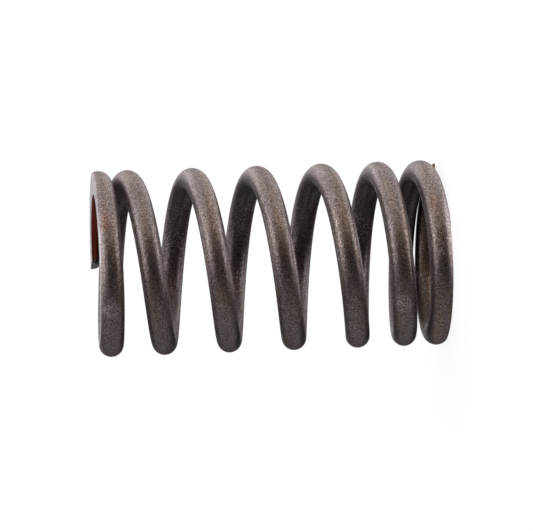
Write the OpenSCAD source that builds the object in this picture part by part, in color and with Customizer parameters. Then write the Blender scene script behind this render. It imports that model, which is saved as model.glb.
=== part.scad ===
// Valve spring of a piston engine: one length of round wire, coiled to the right
// into a compression spring whose ends are closed and ground flat.
// It stands on its lower ground face at z = 0, with the coil's axis on Z.
// The lower end has the closer coils. All lengths are in millimetres.

/* [Wire] */
// Diameter of the round wire
wire_d = 4.4; // [3:0.05:5.5]
// Lean of the sheared faces at both wire tips, in degrees from square
cut_slant = 16; // [0:1:25]

/* [Coil] */
// Outside diameter of the coil
coil_od = 33.4; // [28:0.1:50]
// Free length, from ground face to ground face
free_len = 62.4; // [52:0.1:90]
// Turns of wire, from tip to tip
total_turns = 7.227; // [5.5:0.001:8.5]
// Direction of the lower wire tip, in degrees from +X
tip_angle = 9; // [0:1:359]
// Space left between each wire tip and the coil that it closes on
tip_gap = 0.05; // [0.05:0.05:0.5]

/* [Lower end] */
// Depth ground off the flat run of the lower end coil
low_grind = 0.7; // [0.4:0.05:1]
// Turns from the lower tip to the flattest point of its coil
low_flat_turns = 0.56; // [0.5:0.01:0.65]
// Turns from the lower tip to where its coil has lifted over that tip
low_lift_turns = 0.95; // [0.8:0.01:1]
// Turns from the lower tip to where the close coils begin to open
low_close_turns = 1.98; // [1.1:0.01:2]
// Turns from the lower tip to where the pitch is full
low_open_turns = 2.7; // [2.1:0.05:2.9]

/* [Upper end] */
// Depth ground off the flat run of the upper end coil
high_grind = 0.15; // [0.1:0.05:0.8]
// Turns from the upper tip to the flattest point of its coil
high_flat_turns = 0.62; // [0.5:0.01:0.7]
// Turns from the upper tip to where its coil has lifted over that tip
high_lift_turns = 1; // [0.85:0.01:1]
// Turns from the upper tip to where the pitch is full
high_open_turns = 1.26; // [1.1:0.01:1.6]

/* [Hidden] */

wire_r = wire_d / 2;
coil_r = (coil_od - wire_d) / 2;

// How fast the wire rises, in millimetres a turn, is a line through a few
// knots, each [turns from the tip, rise a turn]. An end coil starts steeply at
// its ground tip, runs nearly flat, and then lifts over that tip.
flat_rise = 0.185 * wire_d;
lift_rise = 1.76 * wire_d;

// Height gained between two knots
function run(a, b) = (b[0] - a[0]) * (a[1] + b[1]) / 2;

// The tip's knot, whose rise brings the first whole turn up by one wire and the gap
function tip(flat, lift) =
    let (rest = run(flat, lift) + (1 - lift[0]) * lift[1])
    [0, 2 * (wire_d + tip_gap - rest) / flat[0] - flat[1]];

low_flat = [low_flat_turns, flat_rise];
low_lift = [low_lift_turns, lift_rise];
low_close = [low_close_turns, lift_rise];
low_tip = tip(low_flat, low_lift);
high_flat = [high_flat_turns, flat_rise];
high_lift = [high_lift_turns, lift_rise];
high_tip = tip(high_flat, high_lift);

// Height of the wire's centre at each tip, measured in from its ground face
low_start = wire_r - low_grind - run(low_tip, low_flat);
high_start = wire_r - high_grind - run(high_tip, high_flat);

// Pitch of the open coils: what is left of the free length, over what is left
// of the turns, where a stretch that opens counts half
closed_height = low_start + run(low_tip, low_flat) + run(low_flat, low_lift) + run(low_lift, low_close)
    + high_start + run(high_tip, high_flat) + run(high_flat, high_lift);
low_opening = low_open_turns - low_close_turns;
high_opening = high_open_turns - high_lift_turns;
full_turns = total_turns - low_open_turns - high_open_turns;
open_pitch = (free_len - closed_height - (low_opening + high_opening) * lift_rise / 2)
    / (full_turns + (low_opening + high_opening) / 2);

// The knots from the lower tip to the upper one
function from_top(knot) = [total_turns - knot[0], knot[1]];
knots = [
    low_tip, low_flat, low_lift, low_close, [low_open_turns, open_pitch],
    from_top([high_open_turns, open_pitch]), from_top(high_lift), from_top(high_flat), from_top(high_tip)
];

// Height gained over the stretch after knot i, as far as turn t
function gain(i, t) =
    let (a = knots[i], b = knots[i + 1], part = min(max(t - a[0], 0), b[0] - a[0]))
    part * (a[1] + (b[1] - a[1]) * part / (b[0] - a[0]) / 2);
function sum(values, i = 0) = i == len(values) ? 0 : values[i] + sum(values, i + 1);

// Height and rise of the wire's centre line at turn t
function height(t) = low_start + sum([for (i = [0:len(knots) - 2]) gain(i, t)]);
function rise(t) = lookup(t, knots);

// One ring of points round the wire at turn t, square to the wire. A lean
// above zero moves the outer side of the ring on and its inner side back.
wire_sides = 20;
rings_a_turn = 36;
function ring(t, lean = 0) =
    let (
        a = 360 * t + tip_angle,
        out = [cos(a), sin(a), 0],
        path = [-2 * PI * coil_r * sin(a), 2 * PI * coil_r * cos(a), rise(t)],
        along = path / norm(path),
        side = cross(along, out)
    )
    [for (k = [0:wire_sides - 1])
        let (u = 360 * k / wire_sides)
        coil_r * out + [0, 0, height(t)] + wire_r * (cos(u) * (out + tan(lean) * along) + sin(u) * side)
    ];

// The whole wire, before its ends are ground
module wire() {
    steps = ceil(total_turns * rings_a_turn);
    rings = [for (i = [0:steps])
        ring(total_turns * i / steps, i == 0 || i == steps ? cut_slant : 0)
    ];
    n = wire_sides;
    skin = [for (i = [0:steps - 1], k = [0:n - 1])
        let (next = (k + 1) % n)
        each [
            [i * n + k, i * n + next, (i + 1) * n + next],
            [i * n + k, (i + 1) * n + next, (i + 1) * n + k]
        ]
    ];
    first_face = [for (k = [0:n - 1]) n - 1 - k];
    last_face = [for (k = [0:n - 1]) steps * n + k];
    polyhedron([for (r = rings) each r], concat([first_face, last_face], skin), convexity = 20);
}

// The coiled spring, ground square at both ends
module valve_spring() {
    stock = coil_od + 2;
    color([0.36, 0.31, 0.29])
    intersection() {
        wire();
        translate([-stock / 2, -stock / 2, 0]) cube([stock, stock, free_len]);
    }
}

valve_spring();
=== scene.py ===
import math

import bmesh
import bpy
from mathutils import Matrix, Vector


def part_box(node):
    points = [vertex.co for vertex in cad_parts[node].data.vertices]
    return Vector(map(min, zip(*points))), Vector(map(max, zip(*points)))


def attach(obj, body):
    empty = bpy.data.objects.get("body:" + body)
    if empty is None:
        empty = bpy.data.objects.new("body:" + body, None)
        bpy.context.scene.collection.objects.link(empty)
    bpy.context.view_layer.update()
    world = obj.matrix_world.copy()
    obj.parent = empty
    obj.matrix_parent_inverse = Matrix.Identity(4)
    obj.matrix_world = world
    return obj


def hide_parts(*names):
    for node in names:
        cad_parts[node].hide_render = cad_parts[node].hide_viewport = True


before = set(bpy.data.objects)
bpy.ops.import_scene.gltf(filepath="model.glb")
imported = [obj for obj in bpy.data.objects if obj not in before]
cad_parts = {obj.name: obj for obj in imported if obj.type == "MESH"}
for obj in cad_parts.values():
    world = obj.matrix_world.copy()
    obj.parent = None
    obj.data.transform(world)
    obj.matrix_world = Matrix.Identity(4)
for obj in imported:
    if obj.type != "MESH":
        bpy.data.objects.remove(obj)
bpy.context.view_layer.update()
mm = 0.001

# Valve spring
spring = {
    "wireDiameter": 4.4 * mm,
    "turns": 7.227,
    "tipAngle": 9,             # degrees from +X to the lower tip
    "tipGap": 0.05 * mm,       # left between each tip and the coil over it
    "cutSlant": 16,            # lean of the sheared tips, in degrees
    "flatRise": 0.185,         # rise a turn where an end coil is flattest, in wires
    "liftRise": 1.76,          # and where it lifts over its tip
    "lowEnd": {"grind": 0.7 * mm, "flat": 0.56, "lift": 0.95, "close": 1.98, "open": 2.7},
    "highEnd": {"grind": 0.15 * mm, "flat": 0.62, "lift": 1.0, "close": 1.0, "open": 1.26},
    "ringsPerTurn": 90,
    "sides": 48,
    "deburr": 0.08 * mm,       # broken edge round the ground faces
    "onPlane": 1e-8,           # a point this near a grinding plane lies on it
}
finishes = {"peened": 0, "ground": 1, "sheared": 2}

boxLow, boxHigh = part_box("valve_spring")
wireRadius = spring["wireDiameter"] / 2
coilRadius = min(boxHigh.x - boxLow.x, boxHigh.y - boxLow.y) / 2 - wireRadius
freeLength = boxHigh.z - boxLow.z


def gained(a, b):
    return (b[0] - a[0]) * (a[1] + b[1]) / 2   # height between two knots


def endCoil(end):
    # knots from the tip inwards, each (turns, rise a turn), and the tip's own height
    flat = (end["flat"], spring["flatRise"] * spring["wireDiameter"])
    lift = (end["lift"], spring["liftRise"] * spring["wireDiameter"])
    close = (end["close"], lift[1])
    firstTurn = spring["wireDiameter"] + spring["tipGap"]
    rest = gained(flat, lift) + (1 - lift[0]) * lift[1]
    tip = (0, 2 * (firstTurn - rest) / flat[0] - flat[1])
    start = wireRadius - end["grind"] - gained(tip, flat)
    return [tip, flat, lift, close], start


def pitchKnots():
    low, lowStart = endCoil(spring["lowEnd"])
    high, highStart = endCoil(spring["highEnd"])
    liftRise = low[-1][1]
    closed = lowStart + highStart
    for coil in (low, high):
        closed += sum(gained(a, b) for a, b in zip(coil, coil[1:]))
    lowOpen, highOpen = spring["lowEnd"]["open"], spring["highEnd"]["open"]
    opening = lowOpen - low[-1][0] + highOpen - high[-1][0]
    fullTurns = spring["turns"] - lowOpen - highOpen
    pitch = (freeLength - closed - opening * liftRise / 2) / (fullTurns + opening / 2)
    knots = low + [(lowOpen, pitch), (spring["turns"] - highOpen, pitch)]
    knots += [(spring["turns"] - turns, rise) for turns, rise in reversed(high)]
    return knots, lowStart


def wireRise(turn, knots, start):
    # height of the wire's centre line at a turn, and how fast it rises there
    height = boxLow.z + start
    for a, b in zip(knots, knots[1:]):
        part = min(max(turn - a[0], 0), b[0] - a[0])
        if b[0] > a[0]:
            height += part * (a[1] + (b[1] - a[1]) * part / (b[0] - a[0]) / 2)
            if turn >= a[0]:
                rise = a[1] + (b[1] - a[1]) * part / (b[0] - a[0])
    return height, rise


def wireFrame(turn, knots, start, lean):
    # X points out of the coil and Z along the wire; a leaning frame shears the ring on it
    height, rise = wireRise(turn, knots, start)
    angle = 2 * math.pi * turn + math.radians(spring["tipAngle"])
    out = Vector((math.cos(angle), math.sin(angle), 0))
    around = Vector((-math.sin(angle), math.cos(angle), 0)) * 2 * math.pi * coilRadius
    along = (around + Vector((0, 0, rise))).normalized()
    matrix = Matrix((out, along.cross(out), along)).transposed().to_4x4()
    matrix.translation = out * coilRadius + Vector((0, 0, height))
    slant = Matrix.Identity(4)
    slant[2][0] = math.tan(math.radians(lean))
    return matrix @ slant


def wireFrames():
    knots, start = pitchKnots()
    steps = round(spring["turns"] * spring["ringsPerTurn"])
    lean = {0: spring["cutSlant"], steps: spring["cutSlant"]}
    return [
        wireFrame(spring["turns"] * i / steps, knots, start, lean.get(i, 0))
        for i in range(steps + 1)
    ]


def sweepWire(bm, frames):
    # one ring is drawn on from frame to frame; each point keeps its place on the wire
    wirePlace = bm.verts.layers.float_vector.new("wirePlace")   # length along the wire, then across it
    ring = bmesh.ops.create_circle(bm, cap_ends=True, segments=spring["sides"], radius=wireRadius,
                                   matrix=frames[0])["verts"]
    edges = bm.edges[:]
    bm.faces.ensure_lookup_table()
    tipFaces = [bm.faces[0]]
    length = 0
    for i, place in enumerate(frames):
        if i:
            extruded = bmesh.ops.extrude_edge_only(bm, edges=edges)["geom"]
            ring = [g for g in extruded if isinstance(g, bmesh.types.BMVert)]
            fresh = set(ring)
            edges = [g for g in extruded if isinstance(g, bmesh.types.BMEdge) and set(g.verts) <= fresh]
            bmesh.ops.transform(bm, matrix=place @ frames[i - 1].inverted(), verts=ring)
            length += (place.translation - frames[i - 1].translation).length
        inverse = place.inverted()
        for v in ring:
            across = inverse @ v.co
            v[wirePlace] = (length, across.x, across.y)
    tipFaces += bmesh.ops.edgeloop_fill(bm, edges=edges)["faces"]
    for face in bm.faces:
        face.smooth = True
    for face in tipFaces:
        face.material_index = finishes["sheared"]
        for edge in face.edges:
            edge.smooth = False
    return length


def grindEnd(bm, height, way):
    # cut a little short of the plane, then the face is drawn out to it with a broken edge
    cut = bmesh.ops.bisect_plane(
        bm, geom=bm.verts[:] + bm.edges[:] + bm.faces[:], dist=spring["onPlane"],
        plane_co=(0, 0, height - way * spring["deburr"]), plane_no=(0, 0, way), clear_outer=True)
    rim = [g for g in cut["geom_cut"] if isinstance(g, bmesh.types.BMEdge)]
    ground = bmesh.ops.edgeloop_fill(bm, edges=rim)["faces"]
    for edge in rim:
        edge.smooth = False
    bmesh.ops.recalc_face_normals(bm, faces=bm.faces[:])
    bmesh.ops.inset_region(bm, faces=ground, thickness=spring["deburr"], depth=spring["deburr"],
                           use_even_offset=True)
    for face in ground:
        face.material_index = finishes["ground"]
        face.smooth = False
        for edge in face.edges:
            edge.smooth = False
            for side in edge.link_faces:
                side.material_index = finishes["ground"]


def makeObject(name, bm):
    mesh = bpy.data.meshes.new(name)
    bm.to_mesh(mesh)
    bm.free()
    piece = bpy.data.objects.new(name, mesh)
    bpy.context.scene.collection.objects.link(piece)
    return piece


def makeSpring():
    bm = bmesh.new()
    length = sweepWire(bm, wireFrames())
    grindEnd(bm, boxLow.z, -1)
    grindEnd(bm, boxHigh.z, 1)
    bmesh.ops.recalc_face_normals(bm, faces=bm.faces[:])
    return makeObject("valveSpring", bm), length


def newMaterial(name):
    material = bpy.data.materials.new(name)
    material.use_nodes = True
    tree = material.node_tree
    return material, tree, tree.nodes["Principled BSDF"]


def feed(tree, socket, value):
    # a socket takes another node's output, a colour or a number
    if isinstance(value, bpy.types.NodeSocket):
        tree.links.new(value, socket)
    elif isinstance(value, tuple):
        socket.default_value = (*value, 1)
    else:
        socket.default_value = value


def add(tree, kind, links=None, **values):
    # a node, its settings and what feeds its inputs
    node = tree.nodes.new(kind)
    for name, value in values.items():
        if hasattr(node, name):
            setattr(node, name, value)
        else:
            node.inputs[name].default_value = value
    for name, source in (links or {}).items():
        tree.links.new(source, node.inputs[name])
    return node


def noise(tree, vector, size=1, detail=2, roughness=0.5):
    # noise whose marks are about one size across
    node = add(tree, "ShaderNodeTexNoise", {"Vector": vector}, Scale=1 / size, Detail=detail,
               Roughness=roughness)
    return node.outputs[0]


def stretch(tree, vector, sizes, turn=0):
    # coordinates in which a mark of these sizes is one across
    scale = [1 / size for size in sizes]
    rotation = (0, 0, math.radians(turn))
    return add(tree, "ShaderNodeMapping", {"Vector": vector}, Scale=scale, Rotation=rotation).outputs[0]


def mixColour(tree, factor, first, second, blend="MIX"):
    node = tree.nodes.new("ShaderNodeMix")
    node.data_type = "RGBA"
    node.blend_type = blend
    for index, value in ((0, factor), (6, first), (7, second)):
        feed(tree, node.inputs[index], value)
    return node.outputs[2]


def ramp(tree, value, span, levels=(0.0, 1.0)):
    # from one level to the other as the value crosses its span
    node = tree.nodes.new("ShaderNodeMapRange")
    node.interpolation_type = "SMOOTHSTEP"
    tree.links.new(value, node.inputs["Value"])
    node.inputs["From Min"].default_value, node.inputs["From Max"].default_value = span
    node.inputs["To Min"].default_value, node.inputs["To Max"].default_value = levels
    return node.outputs["Result"]


def combine(tree, operation, *values):
    node = tree.nodes.new("ShaderNodeMath")
    node.operation = operation
    for socket, value in zip(node.inputs, values):
        feed(tree, socket, value)
    return node.outputs[0]


def multiply(tree, first, second):
    return combine(tree, "MULTIPLY", first, second)


def shaded(tree, colour, red, green, blue):
    # a colour times three shades
    shades = add(tree, "ShaderNodeCombineColor", {"Red": red, "Green": green, "Blue": blue}).outputs[0]
    return mixColour(tree, 1.0, colour, shades, "MULTIPLY")


def roughen(tree, shader, height, depth):
    bump = add(tree, "ShaderNodeBump", {"Height": height}, Strength=1.0, Distance=depth)
    tree.links.new(bump.outputs[0], shader.inputs["Normal"])


def spots(tree, coords, places):
    # one inside each of a few places, zero outside, with soft edges
    total = 0.0
    for place, radius, core in places:
        away = add(tree, "ShaderNodeVectorMath", {0: coords}, operation="DISTANCE")
        away.inputs[1].default_value = [value * mm for value in place]
        spot = ramp(tree, away.outputs["Value"], (radius * mm, core * mm))
        total = combine(tree, "MAXIMUM", spot, total)
    return total


def wirePlaces(tree):
    # the place on the wire, and its length along the wire and place out of the coil by themselves
    place = add(tree, "ShaderNodeAttribute", attribute_name="wirePlace").outputs["Vector"]
    parts = add(tree, "ShaderNodeSeparateXYZ", {"Vector": place}).outputs
    return place, parts[0], parts[1]


noiseSpan = (0.3, 0.7)                   # nearly all of a noise's values

# Peened steel
steel = {
    "paintedShadeAcrossWire": (                      # colour from the coil's inner side, 0, to its outer side, 1; painted shade: darker towards the inner side, in the coil's hollow
        (0.0, (0.197, 0.158, 0.155)), (0.25, (0.242, 0.198, 0.197)), (0.5, (0.287, 0.231, 0.230)),
        (0.69, (0.310, 0.244, 0.240)), (0.88, (0.377, 0.311, 0.308)), (1.0, (0.416, 0.334, 0.320))),
    "metallic": 0.9,
    "roughness": (0.46, 0.34),           # in the grain's pits, then on its tops
    # fine texture: sizes, then how far each shades the colour
    "grain": 0.3 * mm,
    "grainShade": (0.62, 1.38),
    "grainDepth": 0.02 * mm,
    "dimple": 0.45 * mm,
    "dimpleSmooth": 0.6,
    "dimpleDepth": 0.03 * mm,
    "speck": 0.2 * mm,
    "speckSpan": (0.35, 0.68),
    "speckPitAndGlintShade": (0.65, 1.45),
    "speckBlue": (0.92, 1.1),            # bright specks are a little bluer; partly painted glints of the peened surface, partly darker pits
    "streak": (14 * mm, 1.1 * mm, 1.1 * mm),
    "streakShade": (0.85, 1.15),
}
oxide = {
    # brown patches and a few red tints on the outer side
    "patch": (9 * mm, 2 * mm, 2 * mm),
    "outerSide": (0.45 * wireRadius, 0.95 * wireRadius),
    "bronze": (0.46, 0.345, 0.270),
    "bronzeSpan": (0.45, 0.64),
    "bronzeShare": 0.6,
    "tint": (0.44, 0.20, 0.14),
    "tintSpan": (0.67, 0.74),
    "tintShare": 0.5,
    "tintPlaces": (                      # middle, radius and even core, in millimetres
        ((8.2, -14.5, 61.3), 0.9, 0.36), ((6.5, -15.2, 61.2), 1.1, 0.44)),
    # brown inner side of the lower end coil
    "lowInside": (0.26, 0.205, 0.17),
    "lowInsideEnd": (100 * mm, 75 * mm),
    "lowInsideSide": (0.1 * wireRadius, -0.5 * wireRadius),
    # rust on the inner side of the upper end coil, measured back from its tip
    "rust": (0.50, 0.10, 0.065),
    "rustStart": (22 * mm, 20 * mm),
    "rustEnd": (0.6 * mm, 2.6 * mm),
    "rustSide": (-0.1 * wireRadius, -0.5 * wireRadius),
}
scuff = {
    # pale specks: thick in scuffed places, a few strewn everywhere
    "colour": (0.84, 0.72, 0.72),
    "metallicLoss": 0.7,
    "size": 0.24 * mm,
    "thick": (0.46, 0.57),
    "strewn": (0.63, 0.69),
    "blotch": 5 * mm,
    "blotchRoughness": 0.6,
    "blotchScuffed": (0.66, 0.72),
    "blotchStrewn": (0.4, 0.6),
    "places": (((-9.0, -14.0, 8.9), 2.5, 1.0), ((-8.4, -14.4, 60.6), 2.3, 0.92)),
}


# painted shade: the wire's colour darkens towards the coil's inner side, where the hollow of the coil is in
# shade
def paintedShadeAcrossWireColour(tree, out):
    place = combine(tree, "MULTIPLY_ADD", out, 0.5 / wireRadius, 0.5)
    across = add(tree, "ShaderNodeValToRGB", {"Fac": place})
    stops = across.color_ramp.elements
    while len(stops) < len(steel["paintedShadeAcrossWire"]):
        stops.new(1.0)
    for stop, (position, colour) in zip(stops, steel["paintedShadeAcrossWire"]):
        stop.position = position
        stop.color = (*colour, 1)
    return across.outputs["Color"]


def addOxide(tree, colour, coords, wirePlace, along, out):
    outer = ramp(tree, out, oxide["outerSide"])
    patches = noise(tree, stretch(tree, wirePlace, oxide["patch"]), detail=2)
    brown = ramp(tree, patches, oxide["bronzeSpan"], (0.0, oxide["bronzeShare"]))
    colour = mixColour(tree, multiply(tree, outer, brown), colour, oxide["bronze"])
    tinted = ramp(tree, patches, oxide["tintSpan"], (0.0, oxide["tintShare"]))
    colour = mixColour(tree, multiply(tree, outer, tinted), colour, oxide["tint"])
    tinted = multiply(tree, spots(tree, coords, oxide["tintPlaces"]), oxide["tintShare"])
    colour = mixColour(tree, tinted, colour, oxide["tint"])
    lowInside = multiply(tree, ramp(tree, along, oxide["lowInsideEnd"]),
                         ramp(tree, out, oxide["lowInsideSide"]))
    return mixColour(tree, lowInside, colour, oxide["lowInside"])


def scuffMask(tree, coords):
    blotches = noise(tree, coords, scuff["blotch"], detail=4, roughness=scuff["blotchRoughness"])
    specks = noise(tree, coords, scuff["size"], detail=1)
    scuffed = combine(tree, "MAXIMUM", ramp(tree, blotches, scuff["blotchScuffed"]),
                      spots(tree, coords, scuff["places"]))
    scuffed = multiply(tree, scuffed, ramp(tree, specks, scuff["thick"]))
    strewn = multiply(tree, ramp(tree, blotches, scuff["blotchStrewn"]),
                      ramp(tree, specks, scuff["strewn"]))
    return combine(tree, "MAXIMUM", scuffed, strewn)


def rustMask(tree, along, out, length):
    start = ramp(tree, along, [length - back for back in oxide["rustStart"]])
    end = ramp(tree, along, [length - back for back in oxide["rustEnd"]])
    return multiply(tree, multiply(tree, start, end), ramp(tree, out, oxide["rustSide"]))


def peenedSteel(length):
    material, tree, shader = newMaterial("peenedSteel")
    coords = add(tree, "ShaderNodeTexCoord").outputs["Object"]
    wirePlace, along, out = wirePlaces(tree)
    grain = noise(tree, coords, steel["grain"], detail=3)
    specks = noise(tree, coords, steel["speck"], detail=1)
    streaks = noise(tree, stretch(tree, wirePlace, steel["streak"]), detail=3)
    dimples = add(tree, "ShaderNodeTexVoronoi", {"Vector": coords}, feature="SMOOTH_F1",
                  Scale=1 / steel["dimple"], Smoothness=steel["dimpleSmooth"]).outputs["Distance"]

    # the base colour carries painted shade, darker on the coil's inner side
    colour = addOxide(tree, paintedShadeAcrossWireColour(tree, out), coords, wirePlace, along, out)
    shade = multiply(tree, ramp(tree, grain, noiseSpan, steel["grainShade"]),
                     ramp(tree, streaks, noiseSpan, steel["streakShade"]))
    # specks: painted glints where they brighten the colour, darker pits where they darken it
    shade = multiply(tree, shade, ramp(tree, specks, steel["speckSpan"], steel["speckPitAndGlintShade"]))
    blue = multiply(tree, shade, ramp(tree, specks, steel["speckSpan"], steel["speckBlue"]))
    colour = shaded(tree, colour, shade, shade, blue)
    scuffs = scuffMask(tree, coords)
    colour = mixColour(tree, scuffs, colour, scuff["colour"])
    colour = mixColour(tree, rustMask(tree, along, out, length), colour, oxide["rust"])
    tree.links.new(colour, shader.inputs["Base Color"])

    metallic = combine(tree, "MULTIPLY_ADD", scuffs, -scuff["metallicLoss"], steel["metallic"])
    tree.links.new(metallic, shader.inputs["Metallic"])
    tree.links.new(ramp(tree, grain, noiseSpan, steel["roughness"]), shader.inputs["Roughness"])
    deeper = steel["dimpleDepth"] / steel["grainDepth"]
    height = combine(tree, "ADD", multiply(tree, dimples, deeper), grain)
    roughen(tree, shader, height, steel["grainDepth"])
    return material


# Bare steel of the ground ends
groundFace = {
    "colour": (0.68, 0.59, 0.61),
    "stain": (0.32, 0.225, 0.225),
    "stainSize": 1.6 * mm,
    "stainSpan": (0.46, 0.7),
    "stainShare": 0.75,
    "metallic": 1.0,
    "roughness": (0.38, 0.25),           # beside a line, then in it
    "line": (20 * mm, 0.25 * mm, 1),
    "lineTurn": 25,                      # degrees from +X
    "lineShade": (0.85, 1.1),
    "lineDepth": 0.004 * mm,
}


def groundSteel():
    material, tree, shader = newMaterial("groundSteel")
    coords = add(tree, "ShaderNodeTexCoord").outputs["Object"]
    lines = noise(tree, stretch(tree, coords, groundFace["line"], groundFace["lineTurn"]), detail=4)
    tone = ramp(tree, lines, noiseSpan, groundFace["lineShade"])
    stains = noise(tree, coords, groundFace["stainSize"], detail=4)
    stains = ramp(tree, stains, groundFace["stainSpan"], (0.0, groundFace["stainShare"]))
    stained = mixColour(tree, stains, groundFace["colour"], groundFace["stain"])
    tree.links.new(shaded(tree, stained, tone, tone, tone), shader.inputs["Base Color"])
    shader.inputs["Metallic"].default_value = groundFace["metallic"]
    tree.links.new(ramp(tree, lines, noiseSpan, groundFace["roughness"]), shader.inputs["Roughness"])
    roughen(tree, shader, lines, groundFace["lineDepth"])
    return material


# Sheared wire tips
shearedTip = {
    "colour": (0.56, 0.49, 0.50),
    "lowerColour": (0.30, 0.22, 0.17),
    "lowerEnd": (20 * mm, 10 * mm),      # length along the wire that counts as the lower tip
    "metallic": 0.9,
    "roughness": 0.5,
    "tear": 0.5 * mm,
    "tearShade": (0.7, 1.3),
    "tearDepth": 0.05 * mm,
}


def shearedSteel():
    material, tree, shader = newMaterial("shearedSteel")
    coords = add(tree, "ShaderNodeTexCoord").outputs["Object"]
    tears = noise(tree, coords, shearedTip["tear"], detail=5)
    tone = ramp(tree, tears, noiseSpan, shearedTip["tearShade"])
    wirePlace, along, out = wirePlaces(tree)
    lower = ramp(tree, along, shearedTip["lowerEnd"])
    colour = mixColour(tree, lower, shearedTip["colour"], shearedTip["lowerColour"])
    tree.links.new(shaded(tree, colour, tone, tone, tone), shader.inputs["Base Color"])
    shader.inputs["Metallic"].default_value = shearedTip["metallic"]
    shader.inputs["Roughness"].default_value = shearedTip["roughness"]
    roughen(tree, shader, tears, shearedTip["tearDepth"])
    return material


# Studio: a tent with bright side panels and a dark opening at the camera. Angles are in degrees:
# across from the camera, with the photo's left above zero, and up, which is +X.
studio = {
    "above": {"level": 0.54, "up": 26, "soft": 20},
    "below": {"level": 0.18, "up": -31, "soft": 20},
    "panels": {
        "left": {"level": 2.0, "across": (60, 126), "acrossSoft": 30, "up": (-9, 27), "upSoft": 18},
        "right": {"level": 2.0, "across": (-130, -70), "acrossSoft": 14, "up": (-3, 27), "upSoft": 15},
        "backLeft": {"level": 1.2, "across": (136, 164), "acrossSoft": 18, "up": (12, 42), "upSoft": 16},
        "backRight": {"level": 0.55, "across": (-162, -130), "acrossSoft": 18, "up": (10, 46), "upSoft": 16},
    },
    "backdrop": {"level": 1.3, "across": (168, 192), "acrossSoft": 12, "up": (-8, 16), "upSoft": 12},
    "opening": {"level": 0.46, "across": (-56, 26), "acrossSoft": 12, "up": (-45, 40), "upSoft": 17},
    "warm": {"across": (-48, 42), "acrossSoft": 18, "up": (-10, 120), "upSoft": 15},
    "warmColour": (1.0, 0.82, 0.68),
    "white": (1.0, 1.0, 1.0),
    "floorRadius": 4,
    "floorSegments": 96,
    "floorWhite": 0.9,
    "floorShade": (0.2, 0.2, 0.2),
}


def edge(tree, angle, middle, soft, levels=(0.0, 1.0)):
    return ramp(tree, angle, (math.radians(middle - soft), math.radians(middle + soft)), levels)


def window(tree, angle, span, soft):
    # one between two angles, zero outside
    rise = edge(tree, angle, span[0], soft)
    fall = edge(tree, angle, span[1], soft, (1.0, 0.0))
    return multiply(tree, rise, fall)


def panel(tree, across, up, part):
    return multiply(tree, window(tree, across, part["across"], part["acrossSoft"]),
                    window(tree, up, part["up"], part["upSoft"]))


def tentLight(tree, across, up):
    above, below, opening = studio["above"], studio["below"], studio["opening"]
    light = edge(tree, up, above["up"], above["soft"], (0.0, above["level"]))
    light = combine(tree, "ADD", light, edge(tree, up, below["up"], below["soft"], (below["level"], 0.0)))
    lit = [(across, part) for part in studio["panels"].values()]
    lit.append((combine(tree, "ABSOLUTE", across), studio["backdrop"]))   # it lies across the turn at 180
    for angle, part in lit:
        glow = multiply(tree, panel(tree, angle, up, part), part["level"])
        light = combine(tree, "ADD", light, glow)
    shut = multiply(tree, panel(tree, across, up, opening), 1 - opening["level"])
    return multiply(tree, light, combine(tree, "SUBTRACT", 1.0, shut))


def makeTent():
    world = bpy.data.worlds.new("tent")
    bpy.context.scene.world = world
    world.use_nodes = True
    tree = world.node_tree
    background = tree.nodes["Background"]
    direction = add(tree, "ShaderNodeTexCoord").outputs["Generated"]
    parts = add(tree, "ShaderNodeSeparateXYZ", {"Vector": direction}).outputs
    up = combine(tree, "ARCSINE", parts[0])
    across = combine(tree, "ARCTAN2", parts[2], multiply(tree, parts[1], -1.0))
    seen = add(tree, "ShaderNodeLightPath").outputs["Is Camera Ray"]      # the camera sees plain white
    light = combine(tree, "MAXIMUM", tentLight(tree, across, up), seen)
    tree.links.new(light, background.inputs["Strength"])
    warm = multiply(tree, panel(tree, across, up, studio["warm"]), combine(tree, "SUBTRACT", 1.0, seen))
    colour = mixColour(tree, warm, studio["white"], studio["warmColour"])
    tree.links.new(colour, background.inputs["Color"])


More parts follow.
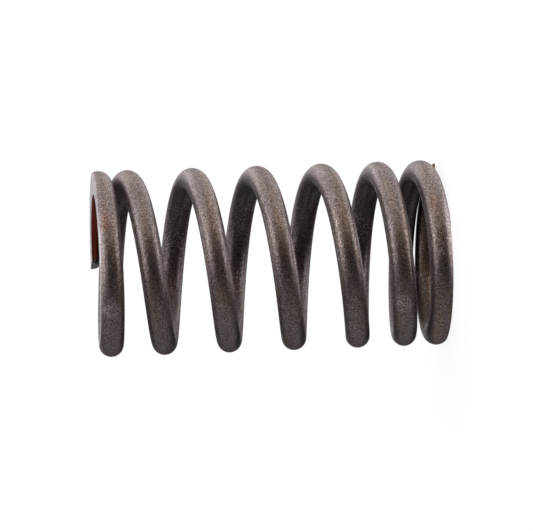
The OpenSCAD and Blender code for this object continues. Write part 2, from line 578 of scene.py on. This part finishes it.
def makeFloor():
    bm = bmesh.new()
    bmesh.ops.create_circle(bm, cap_ends=True, segments=studio["floorSegments"],
                            radius=studio["floorRadius"])
    floor = makeObject("floor", bm)
    material, tree, shader = newMaterial("paleFloor")
    feed(tree, shader.inputs["Base Color"], studio["floorShade"])
    feed(tree, shader.inputs["Emission Color"], studio["white"])
    shader.inputs["Roughness"].default_value = 1.0
    shader.inputs["Specular IOR Level"].default_value = 0.0
    seen = add(tree, "ShaderNodeLightPath").outputs["Is Camera Ray"]
    tree.links.new(multiply(tree, seen, studio["floorWhite"]), shader.inputs["Emission Strength"])
    floor.data.materials.append(material)
    for ray in ("visible_diffuse", "visible_glossy", "visible_shadow"):
        setattr(floor, ray, False)        # the tent's light comes through the table


# Camera at the photograph's place: the spring's axis lies across the picture, its lower end to the right
view = {
    "target": Vector((-1.305, 0, 31.66)) * mm,
    "distance": 722.41 * mm,
    "elevation": 5.55,
    "roll": -2.05,
    "lens": 271.34,
    "sensorWidth": 36,
    "near": 0.05,
    "far": 20,
}


def makeCamera():
    elevation, roll = math.radians(view["elevation"]), math.radians(view["roll"])
    back = Vector((0, -math.cos(elevation), math.sin(elevation)))
    right = (Vector((0, 0, -1)) + back * back.z).normalized()
    up = back.cross(right)
    turned = right * math.cos(roll) + up * math.sin(roll)
    matrix = Matrix((turned, back.cross(turned), back)).transposed().to_4x4()
    matrix.translation = view["target"] + back * view["distance"]
    data = bpy.data.cameras.new("camera")
    data.lens = view["lens"]
    data.sensor_width = view["sensorWidth"]
    data.clip_start = view["near"]
    data.clip_end = view["far"]
    camera = bpy.data.objects.new("camera", data)
    camera.matrix_world = matrix
    bpy.context.scene.collection.objects.link(camera)
    bpy.context.scene.camera = camera


makeCamera()
piece, wireLength = makeSpring()
print("spring made,", len(piece.data.polygons), "faces,", round(wireLength / mm), "mm of wire")
for material in (peenedSteel(wireLength), groundSteel(), shearedSteel()):
    piece.data.materials.append(material)
print("finishes made")
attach(piece, "root")
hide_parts("valve_spring")
makeTent()
makeFloor()
print("studio made")
bpy.context.scene.view_settings.view_transform = "Standard"
